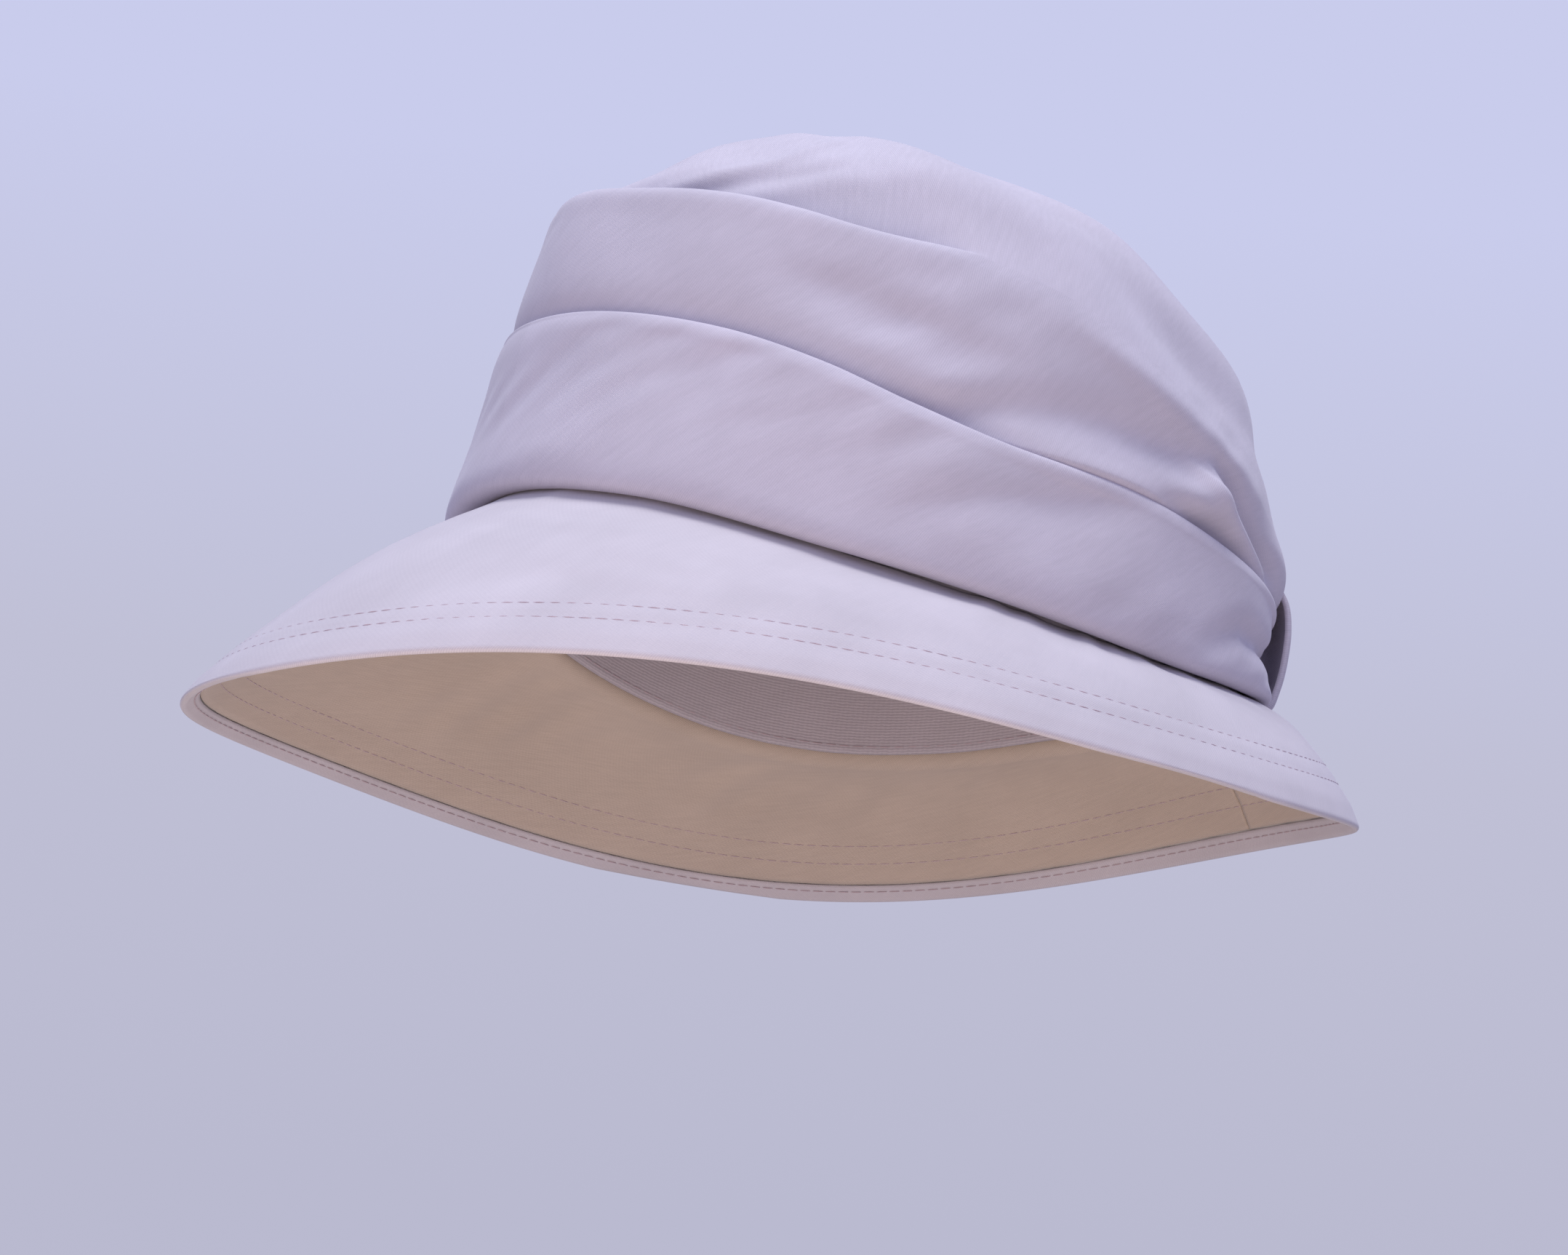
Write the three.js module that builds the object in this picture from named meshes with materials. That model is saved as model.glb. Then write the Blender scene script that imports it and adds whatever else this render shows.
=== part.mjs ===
// A soft sun hat: a draped crown with two turned folds, a back loop and a turned-down brim,
// built as its separate sewn layers.
// Millimetres. +Z is up, -Y is the wearer's front and +X the wearer's left.
// The brim edge stands on z = 0, and the origin is the middle of that footprint.
// Angles run round the hat in degrees: 0 front, 90 left, 180 back, 270 right.
import * as THREE from "three";

// ---- How finely the rings are cut ----
const RING_STEP = 7.5;

// ---- Thickness of each layer ----
const CLOTH = 0.7;
const PLEAT_CLOTH = 0.9;
const STIFFENER = 0.5;
const LINING = 0.6;
const SWEATBAND = 0.8;
const THREAD = 0.4;
const LAYER_GAP = 0.35;

// ---- Brim: an oval edge with a slow wave, and the oval seam where it meets the crown ----
const EDGE_CENTRE_Y = -3.1;
const EDGE_FRONT = 148.6;
const EDGE_BACK = 154.8;
const EDGE_SIDE = 119.2;
const EDGE_TAPER = 0.12; // how much narrower the oval is in front than behind
const EDGE_HEIGHT = 4.9;
const EDGE_WAVE = [-3.9, 3.4, -4.2]; // once, twice and three times round
const SEAM_INSET = 7; // the brim seam lies this far inside the fold above it
const BRIM_BULGE = 6.9;

// ---- The hem at the brim edge: the top cloth turns under and stops short ----
const HEM_TURN = 3.0;
const HEM_END_GAP = 0.5;
const STIFFENER_END = 2.4; // how far in from the edge the stiffener stops
const BRIM_DEPTH = 3 * CLOTH + 2 * LAYER_GAP - 0.2;

// ---- Rows of stitching, by distance from the brim edge ----
const EDGE_ROW = 2.8;
const OUTER_ROW = 9.8;
const INNER_ROW = 14.8;
const ROW_WIDTH = 0.5;

// ---- Crown: the line where it starts, then ovals stacked up to the top ----
const CROWN_CENTRE_Y = 21.5;
const CROWN_SIDE = 89;
const CROWN_LENGTH = 109.2; // half the length, front to back
// The height of the seam between brim and crown, as [angle, height].
const SEAM_HEIGHTS = [
  [0, 60], [30, 55], [60, 43.7], [90, 35], [110, 33.8], [130, 37], [150, 42], [180, 45],
  [210, 42], [230, 37], [250, 33.8], [270, 35], [300, 43.7], [330, 55],
];
// Each oval by the y and z of its front and back points, and half its width.
const CROWN_OVALS = [
  { front: [-87.7, 60], back: [130.7, 45], half: CROWN_SIDE },
  { front: [-82.5, 84], back: [130.5, 78], half: 87.5 },
  { front: [-80, 110], back: [124.5, 113], half: 82.5 },
  { front: [-74.5, 132], back: [109, 136], half: 74 },
  { front: [-69.5, 145.5], back: [90.5, 150], half: 65.5 },
  { front: [-59, 153.5], back: [70, 158], half: 53.5 },
  { front: [-43, 161], back: [48, 164.5], half: 37 },
  { front: [-24, 168], back: [23, 169], half: 20 },
  { front: [-1.5, 171], back: [-1.5, 171], half: 0 },
];
const CROWN_TOP = CROWN_OVALS.length - 1;

// ---- The two folds: the height of each top edge at angles round the hat ----
// Both run low into the loop at the back and high at the front.
const LOWER_FOLD_HEIGHTS = [
  [0, 102], [30, 99], [50, 91], [66, 82], [80, 75.5], [100, 73.5], [125, 69],
  [163, 65], [190, 68], [220, 74], [250, 84], [280, 93], [310, 101], [343, 103],
];
const UPPER_FOLD_HEIGHTS = [
  [0, 142], [23, 137], [50, 130.5], [76, 122], [100, 108.5], [125, 93], [145, 81],
  [163, 76], [185, 84], [210, 101], [240, 118], [270, 130], [300, 139], [330, 144],
];

// ---- How far in from the crown's outline each hidden layer lies ----
const CROWN_BASE_LIFT = -8.4;
const LINING_LIFT = -10;
const SWEATBAND_LIFT = -11.4;
const LABEL_LIFT = -12.3;

// ---- Loop, sweatband and label ----
const LOOP_ANGLE = 163;
const LOOP_HALF_ANGLE = 9;
const SWEATBAND_HEIGHT = 31;
const LINING_SPLIT = 3.6; // level of the seam between the lining's side and top
const LABEL_HALF_ANGLE = 8;

// ---- Colours ----
const CLOTH_COLOUR = 0xc9c2d2;
const UNDER_COLOUR = 0xb9a99f;
const LINING_COLOUR = 0xd8d2cc;
const THREAD_COLOUR = 0xc8a9ae;
const STIFF_COLOUR = 0xe4e1dc;

const radians = (degrees) => (degrees * Math.PI) / 180;
const cosine = (degrees) => Math.cos(radians(degrees));
const sine = (degrees) => Math.sin(radians(degrees));

// A smooth closed curve through [angle, value] points round the hat.
function ringCurve(points) {
  const count = points.length;
  const at = (i) => {
    const turns = Math.floor(i / count);
    const [angle, value] = points[i - turns * count];
    return [angle + 360 * turns, value];
  };
  const slope = (i) => {
    const [before, low] = at(i - 1);
    const [after, high] = at(i + 1);
    return (high - low) / (after - before);
  };
  return (degrees) => {
    const angle = ((degrees % 360) + 360) % 360;
    let i = count - 1;
    while (i > 0 && at(i)[0] > angle) i -= 1;
    const [start, from] = at(i);
    const [end, to] = at(i + 1);
    const span = end - start;
    const t = (angle - start) / span;
    const rise = t * t * (3 - 2 * t);
    const leave = t * (1 - t) * (1 - t) * span * slope(i);
    const arrive = t * t * (t - 1) * span * slope(i + 1);
    return from + (to - from) * rise + leave + arrive;
  };
}

const lowerFoldTop = ringCurve(LOWER_FOLD_HEIGHTS);
const upperFoldTop = ringCurve(UPPER_FOLD_HEIGHTS);
const bandHeight = ringCurve(SEAM_HEIGHTS);

// ---- The crown's outline ----
function ovalPoint(angle, index) {
  if (index < 0) {
    const first = ovalPoint(angle, 0).multiplyScalar(2);
    return first.sub(ovalPoint(angle, 1));
  }
  if (index > CROWN_TOP) return ovalPoint(angle + 180, 2 * CROWN_TOP - index);
  const { front, back, half } = CROWN_OVALS[index];
  const towardFront = (1 + cosine(angle)) / 2;
  const mix = (i) => front[i] * towardFront + back[i] * (1 - towardFront);
  const z = index === 0 ? bandHeight(angle) : mix(1);
  return new THREE.Vector3(half * sine(angle), mix(0), z);
}

// level counts the ovals from 0 at the seam to CROWN_TOP at the top of the hat.
function crownOutline(angle, level) {
  const index = Math.min(Math.floor(level), CROWN_TOP - 1);
  const t = level - index;
  const [a, b, c, d] = [-1, 0, 1, 2].map((i) => ovalPoint(angle, index + i));
  const point = b.clone();
  point.addScaledVector(c.clone().sub(a), t / 2);
  const bend = a.clone().multiplyScalar(2).addScaledVector(b, -5);
  bend.addScaledVector(c, 4).sub(d);
  point.addScaledVector(bend, (t * t) / 2);
  const twist = d.clone().sub(a).addScaledVector(b, 3).addScaledVector(c, -3);
  return point.addScaledVector(twist, (t * t * t) / 2);
}

function crownPoint(angle, level, lift) {
  const point = crownOutline(angle, level);
  if (level > CROWN_TOP - 0.01) return point.add(new THREE.Vector3(0, 0, lift));
  const round = crownOutline(angle + 0.5, level).sub(crownOutline(angle - 0.5, level));
  const up = crownOutline(angle, level + 0.01).sub(crownOutline(angle, level));
  return point.addScaledVector(round.cross(up).normalize(), lift);
}

function levelAtHeight(angle, height) {
  let low = 0;
  let high = CROWN_TOP;
  for (let i = 0; i < 40; i += 1) {
    const middle = (low + high) / 2;
    if (crownOutline(angle, middle).z < height) low = middle;
    else high = middle;
  }
  return low;
}

const crownAt = (angle, height, lift) => crownPoint(angle, levelAtHeight(angle, height), lift);

// ---- The brim's outline ----
function brimEdge(angle) {
  const reach = cosine(angle) > 0 ? EDGE_FRONT : EDGE_BACK;
  const [once, twice, thrice] = EDGE_WAVE;
  return new THREE.Vector3(
    EDGE_SIDE * sine(angle) * (1 - EDGE_TAPER * cosine(angle)),
    EDGE_CENTRE_Y - reach * cosine(angle),
    EDGE_HEIGHT + once * cosine(angle) + twice * cosine(2 * angle) + thrice * cosine(3 * angle),
  );
}

function brimSeam(angle) {
  return new THREE.Vector3(
    (CROWN_SIDE - SEAM_INSET) * sine(angle),
    CROWN_CENTRE_Y - (CROWN_LENGTH - SEAM_INSET) * cosine(angle),
    bandHeight(angle),
  );
}

// share is 0 at the seam and 1 at the edge.
function brimOutline(angle, share) {
  const point = brimSeam(angle).lerp(brimEdge(angle), share);
  point.z += BRIM_BULGE * 4 * share * (1 - share);
  return point;
}

function brimPoint(angle, share, lift) {
  const round = brimOutline(angle + 0.5, share).sub(brimOutline(angle - 0.5, share));
  const out = brimOutline(angle, share + 0.01).sub(brimOutline(angle, share - 0.01));
  return brimOutline(angle, share).addScaledVector(out.cross(round).normalize(), lift);
}

function brimWidth(angle) {
  let width = 0;
  for (let i = 0; i < 8; i += 1) {
    width += brimOutline(angle, i / 8).distanceTo(brimOutline(angle, (i + 1) / 8));
  }
  return width;
}

// A brim point at a distance in from the edge.
const inFromEdge = (angle, distance, lift) =>
  brimPoint(angle, 1 - distance / brimWidth(angle), lift);

// ---- Turning a line of points into a layer of cloth ----
// line(angle) gives the middle of the cloth's section, from one end to the other.
// The layer is swept round the hat from one angle to another and has flat ends.
// Every layer is cut at the same angles, so the gaps between layers stay even.
// With pole set, the last point is shared by every angle and closes the layer.
function layer({ line, thickness, from = 0, to = 360, pole = false }) {
  const ring = to - from === 360;
  const angles = [from];
  for (let turn = Math.floor(from / RING_STEP) + 1; turn * RING_STEP < to; turn += 1) {
    angles.push(turn * RING_STEP);
  }
  if (!ring) angles.push(to);
  const columns = angles.length;
  const steps = ring ? columns : columns - 1;
  const rows = line(from).length;
  const points = [];
  const number = new Map();
  const cornerAt = (column, row, side) => {
    const shared = pole && row === rows - 1 ? 0 : column % columns;
    return number.get(`${shared} ${row} ${side}`);
  };
  for (let column = 0; column < columns; column += 1) {
    const angle = angles[column];
    const here = line(angle);
    const before = line(angle - 0.5);
    const after = line(angle + 0.5);
    for (let row = 0; row < rows; row += 1) {
      const atPole = pole && row === rows - 1;
      if (atPole && column > 0) continue;
      const along = here[Math.min(row + 1, rows - 1)].clone().sub(here[Math.max(row - 1, 0)]);
      const round = after[row].clone().sub(before[row]);
      const normal = atPole ? new THREE.Vector3(0, 0, 1) : round.cross(along).normalize();
      for (const side of [1, -1]) {
        number.set(`${column} ${row} ${side}`, points.length);
        points.push(here[row].clone().addScaledVector(normal, (side * thickness) / 2));
      }
    }
  }
  const faces = [];
  const quad = (a, b, c, d) => {
    if (a !== b && b !== c && a !== c) faces.push(a, b, c);
    if (a !== c && c !== d && a !== d) faces.push(a, c, d);
  };
  for (let column = 0; column < steps; column += 1) {
    const at = (step, row, side) => cornerAt(column + step, row, side);
    for (let row = 0; row < rows - 1; row += 1) {
      quad(at(0, row, 1), at(1, row, 1), at(1, row + 1, 1), at(0, row + 1, 1));
      quad(at(0, row, -1), at(0, row + 1, -1), at(1, row + 1, -1), at(1, row, -1));
    }
    quad(at(0, 0, 1), at(0, 0, -1), at(1, 0, -1), at(1, 0, 1));
    const end = rows - 1;
    if (!pole) quad(at(0, end, 1), at(1, end, 1), at(1, end, -1), at(0, end, -1));
  }
  if (!ring) {
    for (let row = 0; row < rows - 1; row += 1) {
      const at = (column, step, side) => cornerAt(column, row + step, side);
      quad(at(0, 0, 1), at(0, 1, 1), at(0, 1, -1), at(0, 0, -1));
      quad(at(steps, 0, 1), at(steps, 0, -1), at(steps, 1, -1), at(steps, 1, 1));
    }
  }
  const geometry = new THREE.BufferGeometry().setFromPoints(points);
  geometry.setIndex(faces);
  return geometry;
}

const hat = new THREE.Group();
hat.name = "sun_hat";

function add(name, colour, geometry) {
  geometry.computeVertexNormals();
  const material = new THREE.MeshStandardMaterial({ color: colour, roughness: 0.85 });
  const mesh = new THREE.Mesh(geometry, material);
  mesh.name = name;
  hat.add(mesh);
  return mesh;
}

// ---- Brim: top cloth, stiffener and under cloth ----
const TOP_LIFT = -CLOTH / 2;
const STIFFENER_LIFT = -CLOTH - LAYER_GAP - STIFFENER / 2;
const UNDER_LIFT = -BRIM_DEPTH + CLOTH / 2;

const hemEnd = BRIM_DEPTH / 2 + HEM_TURN;

// The part of a brim layer from the seam out to the outer row of stitching.
function flatBrimLine(angle, lift) {
  const innerRow = 1 - INNER_ROW / brimWidth(angle);
  const inside = [0, 0.35, 0.7, 1].map((part) => brimPoint(angle, part * innerRow, lift));
  return [...inside, inFromEdge(angle, OUTER_ROW, lift)];
}

// The top cloth runs to the edge, turns round it and comes back as a hem.
function topLine(angle) {
  const turnRadius = (TOP_LIFT - UNDER_LIFT) / 2;
  const turnCentre = turnRadius + CLOTH / 2;
  const flat = flatBrimLine(angle, TOP_LIFT);
  const turn = [90, 30, -30, -90].map((tilt) =>
    inFromEdge(
      angle,
      turnCentre - turnRadius * cosine(tilt),
      (TOP_LIFT + UNDER_LIFT) / 2 + turnRadius * sine(tilt),
    ),
  );
  return [...flat, ...turn, inFromEdge(angle, hemEnd, UNDER_LIFT)];
}

// Where the hem would reach below the table it is pressed flat.
function restOnTable(geometry) {
  const position = geometry.getAttribute("position");
  for (let i = 0; i < position.count; i += 1) {
    position.setZ(i, Math.max(position.getZ(i), 0));
  }
  return geometry;
}

const brimLayer = (end, lift) => (angle) =>
  [...flatBrimLine(angle, lift), inFromEdge(angle, end, lift)];

add("brim_top", CLOTH_COLOUR, restOnTable(layer({ line: topLine, thickness: CLOTH })));
add(
  "brim_stiffener",
  STIFF_COLOUR,
  layer({ line: brimLayer(STIFFENER_END, STIFFENER_LIFT), thickness: STIFFENER }),
);
add(
  "brim_under",
  UNDER_COLOUR,
  layer({
    line: brimLayer(hemEnd + HEM_END_GAP, UNDER_LIFT),
    thickness: CLOTH,
    from: 180.2,
    to: 539.8,
  }),
);

// ---- Stitching on the brim: each row is one run of thread, on top and underneath ----
function stitchRow(name, distance, lift) {
  const line = (angle) => [
    inFromEdge(angle, distance - ROW_WIDTH / 2, lift),
    inFromEdge(angle, distance + ROW_WIDTH / 2, lift),
  ];
  add(name, THREAD_COLOUR, layer({ line, thickness: THREAD }));
}

const ABOVE = LAYER_GAP + THREAD / 2;
const BELOW = -BRIM_DEPTH - LAYER_GAP - THREAD / 2;
stitchRow("stitch_outer_top", OUTER_ROW, ABOVE);
stitchRow("stitch_inner_top", INNER_ROW, ABOVE);
stitchRow("stitch_outer_under", OUTER_ROW, BELOW);
stitchRow("stitch_inner_under", INNER_ROW, BELOW);
stitchRow("stitch_hem", EDGE_ROW, BELOW);

// ---- Crown: folds, top drape and the shaped base under them ----
// The lower fold starts in the seam, swells out over the brim and turns in at its top.
function lowerFoldLine(angle) {
  const bottom = bandHeight(angle);
  const top = lowerFoldTop(angle);
  const height = (share) => bottom + (top - bottom) * share;
  return [
    crownAt(angle, bottom + 1.7, -5.2),
    crownAt(angle, bottom + 1.3, -2.6),
    crownAt(angle, bottom + 2.4, -0.4),
    crownAt(angle, height(0.33), 1.1),
    crownAt(angle, height(0.72), 0.8),
    crownAt(angle, height(0.95), 0.2),
    crownAt(angle, top + 0.6, -0.9),
    crownAt(angle, top - 1, -2.1),
    crownAt(angle, height(0.72), -2.5),
  ];
}

// The upper fold comes out from behind the lower one and turns in at its own top.
function upperFoldLine(angle) {
  const bottom = lowerFoldTop(angle);
  const top = upperFoldTop(angle);
  const height = (share) => bottom + (top - bottom) * share;
  return [
    crownAt(angle, bottom - 8, -4.2),
    crownAt(angle, bottom + 1.5, -3.6),
    crownAt(angle, height(0.25), -2),
    crownAt(angle, height(0.6), -0.8),
    crownAt(angle, height(0.9), -1.2),
    crownAt(angle, top + 0.6, -2.4),
    crownAt(angle, top - 1, -4.2),
    crownAt(angle, height(0.6), -5.5),
  ];
}

// The top drape comes out from behind the upper fold and covers the top of the hat.
function topDrapeLine(angle) {
  const ledge = upperFoldTop(angle);
  const start = levelAtHeight(angle, ledge + 8);
  const level = (share) => start + (CROWN_TOP - start) * share;
  return [
    crownAt(angle, ledge - 9, -6.9),
    crownAt(angle, ledge + 2, -6.3),
    crownPoint(angle, level(0), -3.2),
    crownPoint(angle, level(0.2), -1),
    crownPoint(angle, level(0.4), -0.4),
    crownPoint(angle, level(0.6), -0.4),
    crownPoint(angle, level(0.8), -0.4),
    crownPoint(angle, CROWN_TOP, -0.4),
  ];
}

// A smooth layer between two levels of the crown, at one depth.
// Its rows lie on the crown's ovals, so that nested layers share their facets.
function smoothLine(angle, bottom, top, lift) {
  const levels = [bottom];
  for (let level = 1; level < CROWN_TOP; level += 1) {
    if (level > bottom + 0.2 && level < top - 0.2) levels.push(level);
  }
  levels.push(top);
  return levels.map((level) => crownPoint(angle, level, lift));
}

add("lower_fold", CLOTH_COLOUR, layer({ line: lowerFoldLine, thickness: PLEAT_CLOTH }));
add("upper_fold", CLOTH_COLOUR, layer({ line: upperFoldLine, thickness: PLEAT_CLOTH }));
add("top_drape", CLOTH_COLOUR, layer({ line: topDrapeLine, thickness: PLEAT_CLOTH, pole: true }));
add(
  "crown_base",
  STIFF_COLOUR,
  layer({
    line: (angle) => {
      const start = levelAtHeight(angle, bandHeight(angle) + 1.4);
      return smoothLine(angle, start, CROWN_TOP, CROWN_BASE_LIFT);
    },
    thickness: SWEATBAND,
    pole: true,
  }),
);

// ---- Loop: a strip of cloth that holds the folds together behind the left ear ----
function loopLine(angle) {
  const bottom = bandHeight(angle);
  const middle = lowerFoldTop(angle);
  const top = upperFoldTop(angle);
  return [
    crownAt(angle, bottom + 2.6, 3),
    crownAt(angle, bottom + 7, 4.8),
    crownAt(angle, bottom + 13, 6),
    crownAt(angle, middle - 5, 5.8),
    crownAt(angle, middle + 2, 4),
    crownAt(angle, top - 2, 1.8),
  ];
}
add(
  "back_loop",
  CLOTH_COLOUR,
  layer({
    line: loopLine,
    thickness: PLEAT_CLOTH,
    from: LOOP_ANGLE - LOOP_HALF_ANGLE,
    to: LOOP_ANGLE + LOOP_HALF_ANGLE,
  }),
);

// ---- Inside: lining, sweatband, its stitching and a blank label ----
add(
  "lining_side",
  LINING_COLOUR,
  layer({
    line: (angle) => {
      const start = levelAtHeight(angle, bandHeight(angle) + 6);
      return smoothLine(angle, start, LINING_SPLIT - 0.02, LINING_LIFT);
    },
    thickness: LINING,
  }),
);
add(
  "lining_tip",
  LINING_COLOUR,
  layer({
    line: (angle) => smoothLine(angle, LINING_SPLIT + 0.02, CROWN_TOP, LINING_LIFT),
    thickness: LINING,
    pole: true,
  }),
);

// A strip on the inside of the crown, between two heights above the seam.
const insideStrip = (low, high, lift) => (angle) =>
  [low, (low + high) / 2, high].map((rise) => crownAt(angle, bandHeight(angle) + rise, lift));

add(
  "sweatband",
  LINING_COLOUR,
  layer({ line: insideStrip(1.6, SWEATBAND_HEIGHT, SWEATBAND_LIFT), thickness: SWEATBAND }),
);
add(
  "sweatband_stitch",
  THREAD_COLOUR,
  layer({
    line: (angle) =>
      [3, 3.5].map((rise) => crownAt(angle, bandHeight(angle) + rise, LABEL_LIFT)),
    thickness: 0.3,
  }),
);
add(
  "label",
  STIFF_COLOUR,
  layer({
    line: insideStrip(8, 24, LABEL_LIFT),
    thickness: 0.3,
    from: 180 - LABEL_HALF_ANGLE,
    to: 180 + LABEL_HALF_ANGLE,
  }),
);

export default hat;
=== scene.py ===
"""The looks of a soft sun hat: draped crown, back loop and stitched, turned-down brim.

Shapes are worked out in millimetres on the hat's own frame: -Y front, +X left, +Z up,
angles in degrees round the hat from the front toward the left. Meshes are made in metres.
"""

import math

import bpy
import numpy as np
from mathutils import Matrix, Vector


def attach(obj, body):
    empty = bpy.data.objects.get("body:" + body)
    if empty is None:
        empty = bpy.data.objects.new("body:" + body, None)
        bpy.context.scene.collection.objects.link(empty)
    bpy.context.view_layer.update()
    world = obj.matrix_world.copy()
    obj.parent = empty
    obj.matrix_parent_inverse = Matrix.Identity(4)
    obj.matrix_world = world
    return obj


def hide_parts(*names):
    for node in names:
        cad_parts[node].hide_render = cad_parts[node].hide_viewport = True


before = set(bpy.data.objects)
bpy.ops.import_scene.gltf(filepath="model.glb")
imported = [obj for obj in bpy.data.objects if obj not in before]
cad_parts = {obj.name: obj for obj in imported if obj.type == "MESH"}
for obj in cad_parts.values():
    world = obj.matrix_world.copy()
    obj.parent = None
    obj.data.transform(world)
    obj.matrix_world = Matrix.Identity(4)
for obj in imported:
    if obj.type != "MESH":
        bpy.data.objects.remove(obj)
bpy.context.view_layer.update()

# -------- sizes, in millimetres
COLUMNS = 600  # how many columns each ring of cloth outside the hat is cut into
INSIDE_COLUMNS = 240  # the same for the cloth inside
CLOTH, DRAPE_CLOTH = 0.7, 0.8  # thickness of the brim's cloth and of the drape's
BRIM_DEPTH = 2.6  # the whole brim, through both cloths and the stiffener
HEM_TURN = 3.0  # how far the top cloth turns under the edge
EDGE_ROW, OUTER_ROW, INNER_ROW = 2.8, 9.8, 14.8  # how far in from the edge each row of stitches is
STITCH_PITCH, STITCH_LENGTH, THREAD = 3.8, 2.9, 0.28  # THREAD is its thickness

# The crown's ovals from the seam up: front y and z, back y and z, half width.
OVALS = np.array([
    (-87.7, 60.0, 130.7, 45.0, 89.0),
    (-82.5, 84.0, 130.5, 78.0, 87.5),
    (-80.0, 110.0, 124.5, 113.0, 82.5),
    (-74.5, 132.0, 109.0, 136.0, 74.0),
    (-69.5, 145.5, 90.5, 150.0, 65.5),
    (-59.0, 153.5, 70.0, 158.0, 53.5),
    (-43.0, 161.0, 48.0, 164.5, 37.0),
    (-24.0, 168.0, 23.0, 169.0, 20.0),
    (-1.5, 171.0, -1.5, 171.0, 0.0),
])
TOP = len(OVALS) - 1
NEAR_TOP = TOP - 0.03  # the highest level where a slope can be measured
SMALL_TURN, SMALL_RISE = 0.4, 0.015  # steps in angle and level that slopes are measured over

# Height of the crown's seam and of the tops of its two folds, by the angle round the hat.
SEAM_HEIGHTS = [
    (0, 60), (30, 55), (60, 43.7), (90, 35), (110, 33.8), (130, 37), (150, 42), (180, 45),
    (210, 42), (230, 37), (250, 33.8), (270, 35), (300, 43.7), (330, 55),
]
LOWER_FOLD = [
    (0, 105), (20, 102), (40, 96), (54, 89), (66, 81.5), (80, 75.3), (99, 72.3), (120, 68),
    (140, 66), (163, 65), (190, 68), (220, 74), (250, 84), (280, 94), (310, 102), (342, 106),
]
UPPER_FOLD = [
    (0, 141), (23, 137), (45, 131.5), (60, 126), (76, 122.5), (90, 116), (104, 105.5),
    (120, 96), (140, 88), (155, 79), (163, 76), (175, 80), (190, 90), (210, 103), (240, 118),
    (270, 130), (300, 138), (330, 142),
]
# How deep the pocket behind the upper fold is, round the hat.
POCKET_DEPTH = [
    (0, 9), (40, 9), (62, 6.5), (71, 3.5), (79, 0.8), (86, 0.4), (110, 0.4), (140, 0.4), (163, 0.6),
    (200, 1.5), (230, 5), (270, 9), (320, 9),
]
LOOP_ANGLE, LOOP_HALF = 163.0, 9.0  # the loop's middle and half width, in degrees


def ring_curve(points):
    """A smooth closed curve through (angle, value) points round the hat."""
    angles = np.array([p[0] for p in points], float)
    values = np.array([p[1] for p in points], float)
    ax = np.concatenate([angles - 360, angles, angles + 360])
    vx = np.concatenate([values, values, values])
    slope = np.zeros_like(vx)
    slope[1:-1] = (vx[2:] - vx[:-2]) / (ax[2:] - ax[:-2])

    def at(angle):
        turned = np.mod(np.asarray(angle, float), 360)
        i = np.clip(np.searchsorted(ax, turned, side="right") - 1, 1, len(ax) - 3)
        span = ax[i + 1] - ax[i]
        t = (turned - ax[i]) / span
        rise = (vx[i + 1] - vx[i]) * t * t * (3 - 2 * t)
        ends = (1 - t) * slope[i] - t * slope[i + 1]
        return vx[i] + rise + t * (1 - t) * span * ends

    return at


seam_height = ring_curve(SEAM_HEIGHTS)
lower_top = ring_curve(LOWER_FOLD)
upper_top = ring_curve(UPPER_FOLD)
pocket_depth = ring_curve(POCKET_DEPTH)


def smooth(x, low, high):
    """0 below low, 1 above high, and a smooth step between."""
    t = np.clip((np.asarray(x, float) - low) / (high - low), 0, 1)
    return t * t * (3 - 2 * t)


def bump(x, middle, width):
    """1 at the middle, fading softly to almost nothing two widths away."""
    return np.exp(-(((x - middle) / width) ** 2))


def unit(v):
    """Vectors made one long."""
    return v / np.maximum(np.linalg.norm(v, axis=-1, keepdims=True), 1e-9)


def on_grid(angle, grid):
    """Each column's angle, repeated down the rows of a grid."""
    return angle[:, None] + 0 * grid


def smooth_line(a, b, c, d, t):
    """The point t of the way from b to c on a smooth line through all four."""
    bend = 2 * a - 5 * b + 4 * c - d
    twist = d - a + 3 * (b - c)
    return b + (c - a) * t / 2 + bend * t**2 / 2 + twist * t**3 / 2


# -------- the crown's outline
def outline(angle, level):
    """Points of the crown's outline; level counts the ovals from the seam up."""
    angle, level = np.broadcast_arrays(np.asarray(angle, float), np.asarray(level, float))
    index = np.clip(np.floor(level).astype(int), 0, TOP - 1)
    t = (level - index)[..., None]

    def oval(i):
        """Oval i. Below the seam one is made up, and past the top it is one on the far side."""
        over = i > TOP
        a = np.radians(np.where(over, angle + 180, angle))
        i = np.where(over, 2 * TOP - i, i)

        def point(k):
            front = (1 + np.cos(a)) / 2
            row = OVALS[k]
            y = row[..., 0] * front + row[..., 2] * (1 - front)
            z = row[..., 1] * front + row[..., 3] * (1 - front)
            z = np.where(k == 0, seam_height(angle), z)
            return np.stack([row[..., 4] * np.sin(a), y, z], -1)

        first = np.zeros_like(i)
        below = 2 * point(first) - point(first + 1)
        return np.where((i < 0)[..., None], below, point(np.clip(i, 0, TOP)))

    return smooth_line(*(oval(index + k) for k in (-1, 0, 1, 2)), t)


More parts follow.
